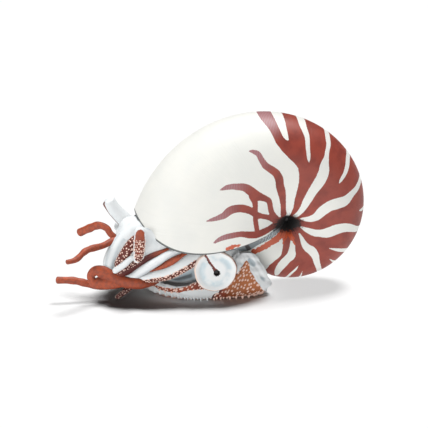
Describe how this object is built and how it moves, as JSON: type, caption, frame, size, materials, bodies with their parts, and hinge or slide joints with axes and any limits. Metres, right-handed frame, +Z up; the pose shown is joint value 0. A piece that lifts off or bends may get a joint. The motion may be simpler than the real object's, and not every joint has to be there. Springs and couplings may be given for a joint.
{
  "type": "nautilus figurine",
  "caption": "Moulded figurine of a nautilus lying on its hood: a flat coiled shell painted in flame stripes, dished eyes, a funnel, fleshy sheaths and thin tentacles.",
  "frame": {"origin": "centre of the bounding box's bottom face, which is the surface it stands on", "axes": "+Z up, -X the way the animal faces and the tentacles point, +Y the animal's left side"},
  "size_m": [0.1127, 0.041, 0.0655],
  "materials": {
    "shell": "satin cream with painted red-brown stripes",
    "eye": "satin white with a painted pupil and slit",
    "hood": "orange-brown with pale tubercles",
    "mantle": "white with a faint blue-grey wash",
    "sheath": "white on the smooth side, spotted red-brown on the other",
    "tentacle": "satin orange-brown"
  },
  "bodies": {
    "root": {"shell": "shell", "eye_right": "eye", "eye_left": "eye", "hood": "hood", "funnel": "mantle", "sheath_ventral_right": "sheath", "sheath_ventral_left": "sheath", "sheath_inner_right": "sheath", "sheath_inner_left": "sheath", "sheath_upright_right": "sheath", "sheath_upright_left": "sheath", "sheath_fold_right": "sheath", "sheath_fold_left": "sheath", "sheath_middle_right": "sheath", "sheath_middle_left": "sheath", "resting_cirrus_right": "tentacle", "resting_cirrus_left": "tentacle", "sheath_lateral_right": "sheath", "sheath_lateral_left": "sheath", "sheath_foot_right": "sheath", "sheath_foot_left": "sheath", "tentacle_upper": "tentacle", "tentacle_outer": "tentacle", "tentacle_looped": "tentacle", "tentacle_low": "tentacle", "head": "mantle"}
  },
  "joints": []
}
